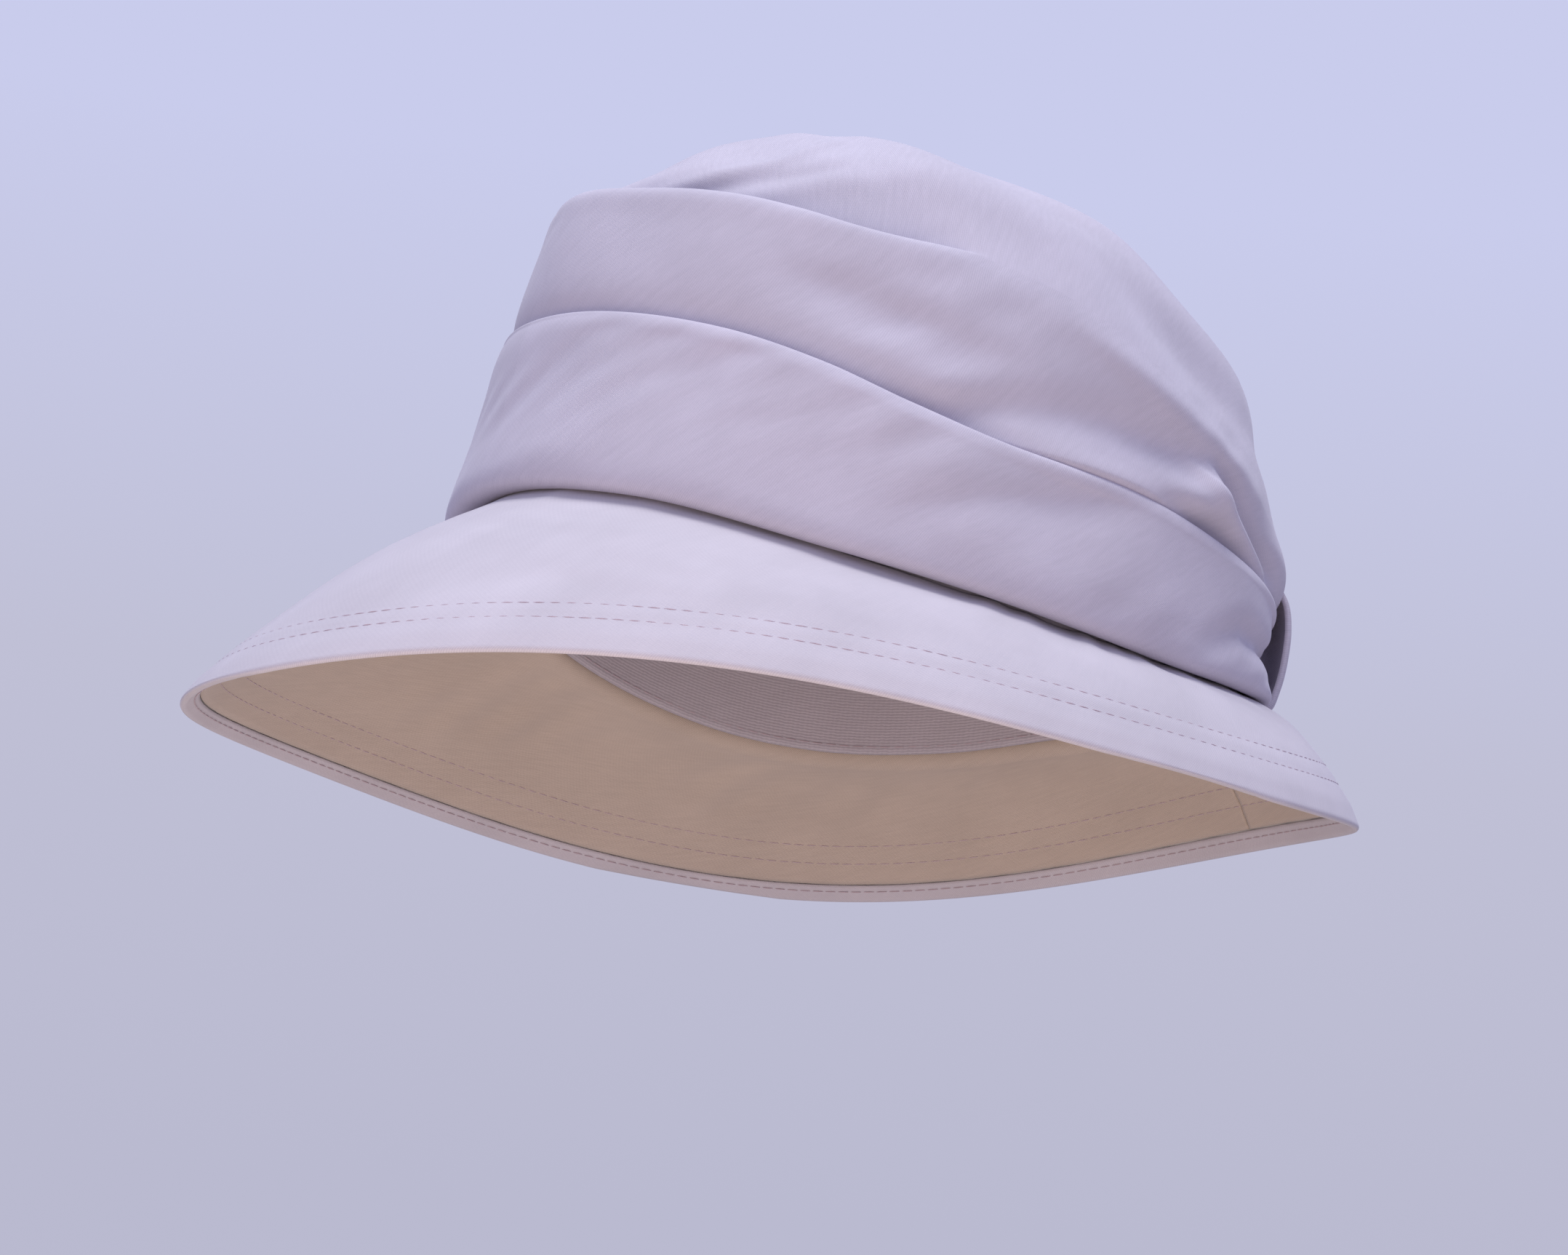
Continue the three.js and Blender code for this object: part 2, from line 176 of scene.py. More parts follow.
def outline_normal(angle, level):
    """The outward normal, which turns upright over the last half level."""
    level = np.clip(level, 0.0, NEAR_TOP)
    sideways = outline(angle + SMALL_TURN, level) - outline(angle - SMALL_TURN, level)
    up = outline(angle, level + SMALL_RISE) - outline(angle, level - SMALL_RISE)
    normal = unit(np.cross(sideways, up))
    flat = smooth(level, TOP - 0.5, NEAR_TOP)[..., None]
    return unit(normal * (1 - flat) + np.array([0, 0, 1.0]) * flat)


# A table of the distance up the outline, from the seam, at every level and angle.
TABLE_ANGLES = np.arange(0, 360, 1.0)
TABLE_LEVELS = np.linspace(0, TOP, 321)
table_points = outline(TABLE_ANGLES[:, None], TABLE_LEVELS[None, :])
table_steps = np.linalg.norm(np.diff(table_points, axis=1), axis=-1)
TABLE_CLIMB = np.concatenate([np.zeros((360, 1)), np.cumsum(table_steps, axis=1)], axis=1)
TABLE_Z = np.maximum.accumulate(table_points[..., 2], axis=1)


def columns_between(table, angle):
    """The table's row at each angle, mixed from the two nearest rows."""
    turned = np.mod(angle, 360)
    low = np.floor(turned).astype(int) % 360
    t = (turned - np.floor(turned))[:, None]
    return table[low] * (1 - t) + table[(low + 1) % 360] * t


def climb_of_height(angle, z):
    """Distance up the outline from the seam, for heights z at angles (one row each)."""
    heights = columns_between(TABLE_Z, angle)
    climbs = columns_between(TABLE_CLIMB, angle)
    z = np.asarray(z, float)
    return np.stack([np.interp(z[i], heights[i], climbs[i]) for i in range(len(angle))])


def climb_at(angle, height):
    """Distance up the outline from the seam, for one height at each angle."""
    return climb_of_height(angle, height[:, None])[:, 0]


def crown_points(angle, climb, lift):
    """Points at a distance up the outline and a height off it. Arrays are angle by row.
    Below the seam they drop straight down."""
    climbs = columns_between(TABLE_CLIMB, angle)
    level = np.stack([np.interp(climb[i], climbs[i], TABLE_LEVELS) for i in range(len(angle))])
    around = on_grid(angle, climb)
    points = outline(around, level)
    points[..., 2] += np.minimum(climb, 0.0)
    return points + outline_normal(around, level) * lift[..., None]


def total_climb(angle):
    """Distance up the outline from the seam to the very top."""
    return columns_between(TABLE_CLIMB, angle)[:, -1]


def curved(controls, steps, columns=COLUMNS):
    """Each column's (climb, lift) control points as rows along a smooth line through them.
    A number stands for all columns. steps says how many rows each stretch is cut into."""
    blank = np.zeros(columns)
    pairs = [np.broadcast_arrays(climb, lift, blank)[:2] for climb, lift in controls]
    controls = np.stack([np.stack(pair, -1) for pair in pairs], axis=1)
    before = 2 * controls[:, :1] - controls[:, 1:2]
    after = 2 * controls[:, -1:] - controls[:, -2:-1]
    padded = np.concatenate([before, controls, after], axis=1)
    parts = []
    for k, count in enumerate(steps):
        near = (padded[:, k + i][:, None] for i in range(4))
        t = np.linspace(0, 1, count, endpoint=False)[None, :, None]
        parts.append(smooth_line(*near, t))
    line = np.concatenate(parts + [controls[:, -1:]], axis=1)
    return line[..., 0], line[..., 1]


def ripples(angle, climb, seed, waves=14, around=(6, 26), length=(18, 60), lean=0):
    """Soft irregular waves over the cloth, the same each run, from -1 to 1 or so.
    A lean of 1 makes them all climb as they go round, and 0 mixes both ways."""
    rng = np.random.default_rng(seed)
    total = np.zeros_like(climb)
    for _ in range(waves):
        turns = rng.integers(*around)
        wave = rng.uniform(*length) * (rng.choice([-1, 1]) if lean == 0 else -lean)
        phase = rng.uniform(0, 2 * math.pi)
        total += np.sin(np.radians(angle) * turns + 2 * math.pi * climb / wave + phase)
    return total / math.sqrt(waves)


def drag_lines(angle, climb, seed):
    """Faint slanting pulls in cloth worn on the bias, stronger in some patches."""
    lines = ripples(angle, climb, seed, around=(16, 40), length=(10, 22), lean=1)
    patches = ripples(angle, climb, seed + 1, waves=8, around=(2, 7), length=(40, 110))
    return lines * smooth(patches, -0.6, 1.4)


def from_angle(angle, middle):
    """Degrees past a middle angle, from -180 to 180."""
    return np.mod(np.asarray(angle, float) - middle + 180, 360) - 180


def crowded_angles(count, middle, width):
    """Angles round the hat, about twice as close together near a middle angle."""
    fine = np.arange(0, 360, 0.1)
    share = np.cumsum(1 + 1.2 * bump(from_angle(fine, middle), 0, width))
    share = np.concatenate([[0], share / share[-1]])
    return np.interp(np.arange(count) / count, share, np.append(fine, 360))


# -------- meshes
def add_object(name, data):
    """A new object in the scene."""
    made = bpy.data.objects.new(name, data)
    bpy.context.scene.collection.objects.link(made)
    return made


def make_mesh(name, points, corners, sizes, uvs, material):
    """A mesh from points in millimetres. corners lists the faces' points one after another,
    sizes how many points each face has, and uvs a place on the cloth for every corner."""
    mesh = bpy.data.meshes.new(name)
    sizes = np.asarray(sizes, np.int32)
    mesh.vertices.add(len(points))
    mesh.vertices.foreach_set("co", (np.asarray(points) / 1000).astype(np.float32).ravel())
    mesh.loops.add(len(corners))
    mesh.loops.foreach_set("vertex_index", np.asarray(corners, np.int32))
    mesh.polygons.add(len(sizes))
    starts = np.concatenate([[0], np.cumsum(sizes)[:-1]]).astype(np.int32)
    mesh.polygons.foreach_set("loop_start", starts)
    mesh.polygons.foreach_set("loop_total", sizes)
    layer = mesh.uv_layers.new(name="cloth")
    layer.data.foreach_set("uv", np.asarray(uvs, np.float32).ravel())
    mesh.polygons.foreach_set("use_smooth", np.ones(len(sizes), bool))
    mesh.update(calc_edges=True)
    mesh.validate()
    mesh.materials.append(material)
    return add_object(name, mesh)


def cloth_normals(points, wrap):
    """Normals of a grid of points, angle by row."""
    if wrap:
        sideways = np.roll(points, -1, axis=0) - np.roll(points, 1, axis=0)
    else:
        sideways = np.gradient(points, axis=0)
    return unit(np.cross(sideways, np.gradient(points, axis=1)))


def cloth(name, points, thickness, uv, material, wrap=True, pole=None, split=None):
    """A closed layer of cloth round a grid of points. uv is in millimetres, with one more
    column than points where the grid wraps round. pole is the point that closes the top.
    split, where the weave changes way, is a second uv and the first row that has it."""
    columns, rows = points.shape[:2]
    half = thickness / 2
    offset = cloth_normals(points, wrap) * half
    verts = [(points + offset).reshape(-1, 3), (points - offset).reshape(-1, 3)]
    size = columns * rows
    steps = columns if wrap else columns - 1
    corners, uvs, sizes = [], [], []

    def add(faces):
        """faces: one (side, column, row) triple of arrays for each corner."""
        number = [s * size + (c % columns) * rows + r for s, c, r in faces]
        corners.append(np.stack(number, -1).ravel())
        place = np.stack([uv[c, r] for _, c, r in faces], 1)
        if split:
            _, column, row = faces[0]
            above = (row >= split[1][column % columns])[:, None, None]
            place = np.where(above, np.stack([split[0][c, r] for _, c, r in faces], 1), place)
        uvs.append(place.reshape(-1, 2))
        sizes.append(np.full(len(faces[0][1]), len(faces)))

    c, r = (g.ravel() for g in np.mgrid[0:steps, 0 : rows - 1])
    add([(0, c, r), (0, c + 1, r), (0, c + 1, r + 1), (0, c, r + 1)])
    add([(1, c, r), (1, c, r + 1), (1, c + 1, r + 1), (1, c + 1, r)])
    c = np.arange(steps)
    first, last = np.zeros_like(c), np.full_like(c, rows - 1)
    add([(0, c, first), (1, c, first), (1, c + 1, first), (0, c + 1, first)])
    if pole is None:
        add([(0, c, last), (0, c + 1, last), (1, c + 1, last), (1, c, last)])
    if not wrap:
        r = np.arange(rows - 1)
        start, end = np.zeros_like(r), np.full_like(r, steps)
        add([(0, start, r), (0, start, r + 1), (1, start, r + 1), (1, start, r)])
        add([(0, end, r), (1, end, r), (1, end, r + 1), (0, end, r + 1)])
    if pole is not None:
        verts.append(np.array([pole + (0, 0, half), pole - (0, 0, half)]))
        uv = split[0] if split else uv
        middle = np.broadcast_to(uv[:columns, -1].mean(axis=0), (steps, 2))
        ring, after = (c % columns) * rows + rows - 1, ((c + 1) % columns) * rows + rows - 1
        here, there = uv[c, last], uv[c + 1, last]
        corners.append(np.stack([ring, after, np.full_like(c, 2 * size)], -1).ravel())
        uvs.append(np.stack([here, there, middle], 1).reshape(-1, 2))
        under = [after + size, ring + size, np.full_like(c, 2 * size + 1)]
        corners.append(np.stack(under, -1).ravel())
        uvs.append(np.stack([there, here, middle], 1).reshape(-1, 2))
        sizes.append(np.full(2 * steps, 3))
    parts = (np.concatenate(p) for p in (verts, corners, sizes, uvs))
    return make_mesh(name, *parts, material)


def strip_uv(points, wrap=True):
    """Distances round and across a grid, in millimetres, for the weave."""
    closed = np.concatenate([points, points[:1]]) if wrap else points
    middle = closed.shape[1] // 2
    sideways = np.linalg.norm(np.diff(closed[:, middle], axis=0), axis=-1)
    u = np.concatenate([[0], np.cumsum(sideways)])
    across = np.linalg.norm(np.diff(closed, axis=1), axis=-1).mean(axis=0)
    v = np.concatenate([[0], np.cumsum(across)])
    return np.stack(np.broadcast_arrays(u[:, None], v[None, :]), -1)


def top_uv(angle, climb, turn=0):
    """Places on a flat round of cloth, in millimetres from its middle, turned by an angle."""
    spread = total_climb(angle)[:, None] - climb
    spread = np.concatenate([spread, spread[:1]])
    turned = np.radians(np.concatenate([angle, [360.0]]) - turn)[:, None]
    return np.stack([spread * np.sin(turned), -spread * np.cos(turned)], -1)


# -------- materials
SHEEN = 0.2


def new_material(name):
    """A new material, its node tree and its shader."""
    material = bpy.data.materials.new(name)
    material.use_nodes = True
    tree = material.node_tree
    return material, tree, tree.nodes["Principled BSDF"]


def set_inputs(node, inputs):
    """Gives a node's inputs, by name or number, their values or the outputs they link to."""
    for key, value in inputs.items():
        if isinstance(value, bpy.types.NodeSocket):
            node.id_data.links.new(value, node.inputs[key])
        else:
            node.inputs[key].default_value = value


def add_node(tree, kind, inputs, **settings):
    """A new node in a tree, with its settings and inputs."""
    made = tree.nodes.new(kind)
    for key, value in settings.items():
        setattr(made, key, value)
    set_inputs(made, inputs)
    return made


def cloth_place(tree):
    """The place on the cloth, in millimetres, which every weave is drawn by."""
    return add_node(tree, "ShaderNodeUVMap", {}, uv_map="cloth").outputs["UV"]


def wave_scale(spacing):
    """The wave texture's scale for ribs at a spacing. At a scale of 1 they are 2 pi / 20 apart."""
    return 2 * math.pi / 20 / spacing


def srgb(red, green, blue):
    """A colour as a shader wants it, from its values between 0 and 255 on a screen."""
    def linear(v):
        v /= 255
        return v / 12.92 if v <= 0.04045 else ((v + 0.055) / 1.055) ** 2.4

    return (linear(red), linear(green), linear(blue), 1.0)


def twill(name, light, dark, pitch=0.44, slant=60, strength=0.25, rough=0.85, streak=0.4):
    """Fine twill: ribs crossed by threads, with soft changes of tone. slant is the direction
    of the ribs on the cloth, in degrees from the way round. streak is how far the changes of
    tone run along the thread, from 0 to 1."""
    material, tree, shader = new_material(name)
    place = cloth_place(tree)

    def turned(angle, kind, scale=(1, 1, 1)):
        inputs = {"Vector": place, "Rotation": (0, 0, math.radians(angle)), "Scale": scale}
        return add_node(tree, "ShaderNodeMapping", inputs, vector_type=kind).outputs["Vector"]

    def ribs(angle, spacing, distortion):
        inputs = {"Vector": turned(angle, "POINT"), "Scale": wave_scale(spacing)}
        inputs.update({"Distortion": distortion, "Detail": 2.0, "Detail Scale": 1.5})
        return add_node(tree, "ShaderNodeTexWave", inputs).outputs["Fac"]

    def noise(where, scale, detail):
        inputs = {"Vector": where, "Scale": scale, "Detail": detail}
        return add_node(tree, "ShaderNodeTexNoise", inputs).outputs["Fac"]

    def maths(operation, a, b):
        return add_node(tree, "ShaderNodeMath", {0: a, 1: b}, operation=operation).outputs[0]

    def blend(a, b, share):
        """Two tones added up, with a share of the second."""
        return maths("ADD", maths("MULTIPLY", a, 1 - share), maths("MULTIPLY", b, share))

    def ranged(value, start, end, low, high):
        """A value moved from the range start to end into the range low to high."""
        inputs = {"Value": value, "From Min": start, "From Max": end, "To Min": low, "To Max": high}
        return add_node(tree, "ShaderNodeMapRange", inputs).outputs["Result"]

    woven = blend(ribs(90 - slant, pitch, 2.4), ribs(-slant, pitch * 1.7, 1.6), 0.14)
    grain = blend(woven, noise(place, 3.0, 3.0), 0.42)
    slub = noise(turned(slant - 20, "TEXTURE", (9.0, 1.1, 1.0)), 1.0, 2.0)
    patches = blend(noise(place, 0.035, 3.0), slub, streak)

    colours = {"A": dark, "B": light, "Factor": ranged(grain, 0.1, 0.9, 0, 1)}
    mix = add_node(tree, "ShaderNodeMix", colours, data_type="RGBA")
    tints = {0: mix.outputs["Result"], "Scale": ranged(patches, 0.3, 0.7, 0.91, 1.05)}
    tint = add_node(tree, "ShaderNodeVectorMath", tints, operation="SCALE")
    depths = {"Height": grain, "Strength": strength, "Distance": 0.0002}
    relief = add_node(tree, "ShaderNodeBump", depths)
    set_inputs(shader, {
        "Base Color": tint.outputs["Vector"],
        "Roughness": ranged(grain, 0, 1, rough + 0.08, rough - 0.06),
        "Normal": relief.outputs["Normal"],
        "Sheen Weight": SHEEN,
        "Sheen Roughness": 0.45,
        "Specular IOR Level": 0.25,
    })
    return material


def thread_material(name, colour):
    """Spun thread: a twist along it in tone and relief."""
    material, tree, shader = new_material(name)
    turn = {"Vector": cloth_place(tree), "Rotation": (0, 0, math.radians(35))}
    turned = add_node(tree, "ShaderNodeMapping", turn).outputs["Vector"]
    waves = {"Vector": turned, "Scale": wave_scale(0.45)}
    twist = add_node(tree, "ShaderNodeTexWave", waves).outputs["Fac"]
    dark = [c * 0.8 for c in colour[:3]] + [1]
    colours = {"A": dark, "B": colour, "Factor": twist}
    mix = add_node(tree, "ShaderNodeMix", colours, data_type="RGBA")
    depths = {"Height": twist, "Strength": 0.4, "Distance": 0.0001}
    relief = add_node(tree, "ShaderNodeBump", depths)
    set_inputs(shader, {
        "Base Color": mix.outputs["Result"],
        "Normal": relief.outputs["Normal"],
        "Roughness": 0.6,
        "Sheen Weight": SHEEN,
    })
    return material


CREAM_LIGHT, CREAM_DARK = srgb(215, 207, 215), srgb(195, 186, 196)
OUTER = twill("outer_cloth", CREAM_LIGHT, CREAM_DARK)
BRIM_LIGHT, BRIM_DARK = srgb(214, 206, 209), srgb(195, 186, 191)
BRIM_CLOTH = twill("brim_cloth", BRIM_LIGHT, BRIM_DARK, slant=-57, strength=0.12, streak=0.15)
# The under cloth is the top's own cloth, coloured a warmer, darker tan: painted warm light
# reflected up under the brim.
UNDER_PAINTED_BOUNCE = twill("under_cloth", srgb(213, 196, 181), srgb(182, 163, 147), slant=40)
LOOP = twill("loop_cloth", CREAM_LIGHT, CREAM_DARK, slant=20)
LINING = twill(
    "lining", srgb(222, 214, 214), srgb(196, 187, 189), pitch=0.4, strength=0.12, rough=0.6
)
BAND = twill(
    "sweatband", srgb(206, 197, 202), srgb(172, 162, 169), pitch=0.8, slant=0, strength=0.4
)
STIFF = twill("stiffener", srgb(232, 229, 226), srgb(214, 210, 206), pitch=0.9, slant=90)
LABEL = twill("label", srgb(236, 233, 230), srgb(222, 218, 215), pitch=0.3, slant=90, rough=0.5)
THREAD_M = thread_material("thread", srgb(208, 184, 190))

angles = crowded_angles(COLUMNS, 125, 38)
inside_angles = np.arange(INSIDE_COLUMNS) * 360.0 / INSIDE_COLUMNS


def finished(piece, slot, *nodes):
    """A piece that rides on the hat, with the CAD nodes it stands for. The slot is not used."""
    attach(piece, "root")
    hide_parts(*nodes)
    return piece


# -------- brim
EDGE_CENTRE_Y, EDGE_FRONT, EDGE_BACK, EDGE_SIDE = -3.1, 148.6, 154.8, 119.2
SEAM_CENTRE_Y, SEAM_HALF_LENGTH, SEAM_HALF_WIDTH = 21.5, 109.2, 89
SEAM_INSET = 7.0  # how far inside the crown's seam the brim starts
BRIM_BULGE = 6.9  # how far the brim arches up between the seam and the edge
EDGE_PRESS = 0.35  # how far each face is pressed in at the edge
ROWS_FLAT, ROWS_TURN, ROWS_HEM, ROWS_UNDER = 60, 9, 5, 48


def brim_outline(angle, share):
    """Points from the seam, share 0, to the edge, share 1."""
    a = np.radians(angle)
    c, s = np.cos(a), np.sin(a)
    reach = np.where(c > 0, EDGE_FRONT, EDGE_BACK)
    wave = 4.9 - 3.9 * c + 3.4 * np.cos(2 * a) - 4.2 * np.cos(3 * a)
    edge = np.stack([EDGE_SIDE * s * (1 - 0.12 * c), EDGE_CENTRE_Y - reach * c, wave], -1)
    seam_x = (SEAM_HALF_WIDTH - SEAM_INSET) * s
    seam_y = SEAM_CENTRE_Y - (SEAM_HALF_LENGTH - SEAM_INSET) * c
    seam = np.stack([seam_x, seam_y, seam_height(angle)], -1)
    share = np.asarray(share, float)[..., None]
    points = seam * (1 - share) + edge * share
    points[..., 2] += (BRIM_BULGE * 4 * share * (1 - share))[..., 0]
    return points


def brim_width(angle):
    """The brim's width along its slope, one row for each angle."""
    line = brim_outline(angle[:, None], np.linspace(0, 1, 25)[None, :])
    return np.linalg.norm(np.diff(line, axis=1), axis=-1).sum(axis=1)[:, None]


def brim_points(angle, distance, lift):
    """Points at a distance in from the edge. Arrays are angle by row."""
    around = on_grid(angle, distance)
    share = 1 - distance / brim_width(angle)
    sideways = brim_outline(around + SMALL_TURN, share) - brim_outline(around - SMALL_TURN, share)
    out = brim_outline(around, share + 0.01) - brim_outline(around, share - 0.01)
    normal = unit(np.cross(out, sideways))
    return brim_outline(around, share) + normal * lift[..., None]


# Small tucks where the brim is eased into the seam: angle, half width and height.
TUCKS = [(18, 2.4, 0.5), (34, 3.4, 0.3), (57, 2.8, 0.3), (81, 2.4, 0.7), (86.5, 2.0, 0.5),
         (96, 1.8, 0.7), (100.5, 1.8, 0.5), (105, 2.4, 0.6), (114, 3.0, 0.4), (128, 3.0, 0.3),
         (182, 2.6, 0.5), (201, 2.2, 0.5), (214, 3.0, 0.4), (236, 2.2, 0.6), (247, 2.6, 0.5),
         (263, 2.2, 0.6), (281, 3.0, 0.4), (305, 2.6, 0.5), (333, 3.0, 0.4)]


def brim_relief(angle, distance, width):
    """How the stitched cloth rises and dips: hollows along the rows, soft ripples at the seam."""
    rows = bump(distance, OUTER_ROW, 0.7) + bump(distance, INNER_ROW, 0.7)
    pucker = 0.5 + 0.5 * np.sin(np.radians(angle) * 226)
    between = bump(distance, (OUTER_ROW + INNER_ROW) / 2, 1.8)
    outside = bump(distance, OUTER_ROW / 2, 3.0)
    from_seam = width - distance
    past_seam = np.maximum(from_seam, 0)
    tucks = sum(
        size * bump(from_angle(angle, place), 0.05 * from_seam, spread)
        for place, spread, size in TUCKS
    )
    roots = tucks * np.exp(-past_seam / 16)
    slow = ripples(angle, distance, 5, around=(3, 12), length=(60, 160))
    relief = -0.16 * rows * (0.7 + 0.3 * pucker) + 0.10 * between + 0.12 * outside
    inner = smooth(distance, INNER_ROW, INNER_ROW + 12) * smooth(from_seam, 0, 8)
    upturn = 1.4 * np.exp(-past_seam / 5)
    upturn += 1.0 * bump(from_angle(angle, 98), 0, 24) * np.exp(-past_seam / 9)
    drag = 0.12 * drag_lines(angle, -distance, 7) * inner
    return relief + 0.3 * slow * inner + drag + roots + upturn


def brim_top_layer():
    """The top cloth: flat rows from the seam out, the turn round the edge, and the hem."""
    width = brim_width(angles)
    radius = (BRIM_DEPTH - CLOTH) / 2
    turn_centre = radius + CLOTH / 2
    flat_rows = np.linspace(0, 1, ROWS_FLAT)[None, :] ** 1.15
    flat_distance = width + (turn_centre - width) * flat_rows
    flat_lift = -CLOTH / 2 - EDGE_PRESS * (1 - smooth(flat_distance, 1.3, 5.0))
    tilt = np.radians(np.linspace(90, -90, ROWS_TURN))[None, 1:]
    turn_distance = turn_centre - radius * np.cos(tilt) + 0 * width
    turn_lift = -BRIM_DEPTH / 2 + (radius - EDGE_PRESS) * np.sin(tilt) + 0 * width
    hem_distance = turn_centre + HEM_TURN * np.linspace(0, 1, ROWS_HEM)[None, 1:] + 0 * width
    hem_lift = -BRIM_DEPTH + CLOTH / 2 + EDGE_PRESS * (1 - smooth(hem_distance, 1.5, 4.0))
    distance = np.concatenate([flat_distance, turn_distance, hem_distance], axis=1)
    lift = np.concatenate([flat_lift, turn_lift, hem_lift], axis=1)
    relief = brim_relief(on_grid(angles, distance), distance, width)
    relief[:, ROWS_FLAT:] = 0
    relief *= smooth(distance, 0.5, 2.5)
    points = brim_points(angles, distance, lift + relief)
    points[..., 2] = np.maximum(points[..., 2], CLOTH / 2)  # the lowest places rest on z 0
    made = cloth("brim_top_cloth", points, CLOTH, strip_uv(points), BRIM_CLOTH)
    return finished(made, "outer_cloth", "brim_top")


def brim_under_layer():
    """The under cloth, from inside the crown to the hem. Its ends come together at the back."""
    angle = 180.1 + np.arange(COLUMNS + 1) * 359.8 / COLUMNS
    turned = np.mod(angle, 360)
    width = brim_width(angle)
    hem_end = BRIM_DEPTH / 2 + HEM_TURN + CLOTH / 2  # where the hem leaves off
    distance = width + (hem_end - width) * np.linspace(0, 1, ROWS_UNDER)[None, :]
    rows = bump(distance, OUTER_ROW, 0.8) + bump(distance, INNER_ROW, 0.8)
    slow = ripples(on_grid(turned, distance), distance, 9, around=(20, 60), length=(25, 70))
    inner = smooth(distance, INNER_ROW, INNER_ROW + 10)
    gathers = inner * smooth(width - distance, -2, 10)
    lift = -BRIM_DEPTH + CLOTH / 2 + 0.14 * rows - 0.3 * gathers * (1 + 0.6 * slow)
    rise = np.array([5.0, 3.2, 1.4, 0.0])[None, :] + 0 * width
    tucked = crown_points(turned, rise, rise * 0 - 9.7)
    points = np.concatenate([tucked, brim_points(angle, distance, lift)], axis=1)
    made = cloth("brim_under_cloth", points, CLOTH, strip_uv(points, False), UNDER_PAINTED_BOUNCE, wrap=False)
    return finished(made, "under_cloth", "brim_under")


brim_top = brim_top_layer()
brim_under = brim_under_layer()


# -------- stitches
SINK = 0.03  # how deep the ends of a stitch lie in the cloth


def stitches(name, place, length, node):
    """A row of separate stitches. place(angles) gives the points and the outward normals.
    length is about the row's own, and says how many stitches there are."""
    count = int(round(length / STITCH_PITCH))
    sides, rings = 6, 5
    fine = np.arange(0, 360, 0.5)
    line, _ = place(fine)
    closed = np.concatenate([line, line[:1]])
    along = np.concatenate([[0], np.cumsum(np.linalg.norm(np.diff(closed, axis=0), axis=-1))])
    pitch = along[-1] / count
    run = np.linspace(0, STITCH_LENGTH / STITCH_PITCH * pitch, rings)
    places = (np.arange(count)[:, None] + 0.1) * pitch + run
    angle = np.interp(places, along, np.concatenate([fine, [360]]))
    centre, normal = (p.reshape(count, rings, 3) for p in place(angle.ravel()))
    tangent = unit(np.gradient(centre, axis=1))
    side = unit(np.cross(tangent, normal))
    arch = np.sin(np.linspace(0, math.pi, rings))
    radius = (THREAD / 2 * (0.55 + 0.45 * arch))[None, :, None, None]
    middle = centre + normal * (THREAD * 0.32 * arch - SINK)[None, :, None]
    turn = (2 * math.pi * np.arange(sides) / sides)[None, None, :, None]
    spoke = np.cos(turn) * side[:, :, None] + np.sin(turn) * normal[:, :, None]
    verts = (middle[:, :, None] + radius * spoke).reshape(-1, 3)
    base = np.arange(count)[:, None, None] * rings * sides
    k, j = (g[None] for g in np.mgrid[0 : rings - 1, 0:sides])
    here, there = base + k * sides + j, base + k * sides + (j + 1) % sides
    walls = np.stack([here, there, there + sides, here + sides], -1).reshape(-1)
    ends = base[:, :, 0] + np.arange(sides)
    caps = np.concatenate([ends[:, ::-1], ends + (rings - 1) * sides]).ravel()
    wall_uv = np.stack(
        [np.stack([run[k + i], j + m + 0.0], -1) for i, m in ((0, 0), (0, 1), (1, 1), (1, 0))], -2
    )
    wall_uv = np.broadcast_to(wall_uv, (count, rings - 1, sides, 4, 2)).reshape(-1, 2)
    uvs = np.concatenate([wall_uv, np.zeros((len(caps), 2))])
    wall_count, cap_count = count * (rings - 1) * sides, 2 * count
    sizes = np.concatenate([np.full(wall_count, 4), np.full(cap_count, sides)])
    row = make_mesh(name, verts, np.concatenate([walls, caps]), sizes, uvs, THREAD_M)
    finished(row, "thread", node)


def on_brim(distance_in, lift, outward):
    """The place function for a row of stitches on the brim."""

    def place(at):
        distance = np.full((len(at), 1), distance_in)
        base = brim_points(at, distance, np.full_like(distance, lift))[:, 0]
        above = brim_points(at, distance, np.full_like(distance, lift + 1))[:, 0]
        return base, outward * unit(above - base)

    return place


TOP_FACE, UNDER_FACE = -0.12, -BRIM_DEPTH + 0.12  # the faces in the rows' shallow hollows
OUTER_LENGTH, INNER_LENGTH, HEM_LENGTH = 860.0, 835.0, 880.0
stitches("stitches_outer_top", on_brim(OUTER_ROW, TOP_FACE, 1), OUTER_LENGTH, "stitch_outer_top")
stitches("stitches_inner_top", on_brim(INNER_ROW, TOP_FACE, 1), INNER_LENGTH, "stitch_inner_top")
stitches(
    "stitches_outer_under", on_brim(OUTER_ROW, UNDER_FACE, -1), OUTER_LENGTH, "stitch_outer_under"
)
stitches(
    "stitches_inner_under", on_brim(INNER_ROW, UNDER_FACE, -1), INNER_LENGTH, "stitch_inner_under"
)
stitches("stitches_hem", on_brim(EDGE_ROW, -BRIM_DEPTH, -1), HEM_LENGTH, "stitch_hem")


# -------- crown cloth
def ridge(angle, climb, height, above, below, line):
    """A soft ridge or, with a negative height, a hollow, along a line of (angle, z, strength).
    above and below say how far it fades past its line, in millimetres."""
    degrees, heights, strengths = np.array(line, float).T
    place = from_angle(angle[:, 0], degrees.mean()) + degrees.mean()
    near = place + np.linspace(-4, 4, 9)[:, None]
    line_z = np.interp(near, degrees, heights).mean(axis=0)
    strength = np.interp(near, degrees, strengths, left=0, right=0).mean(axis=0)
    strength = smooth(strength, 0, 1)[:, None]
    middle = climb_of_height(angle[:, 0], line_z[:, None])
    off = climb - middle
    return height * strength * bump(off, 0, np.where(off > 0, above, below))


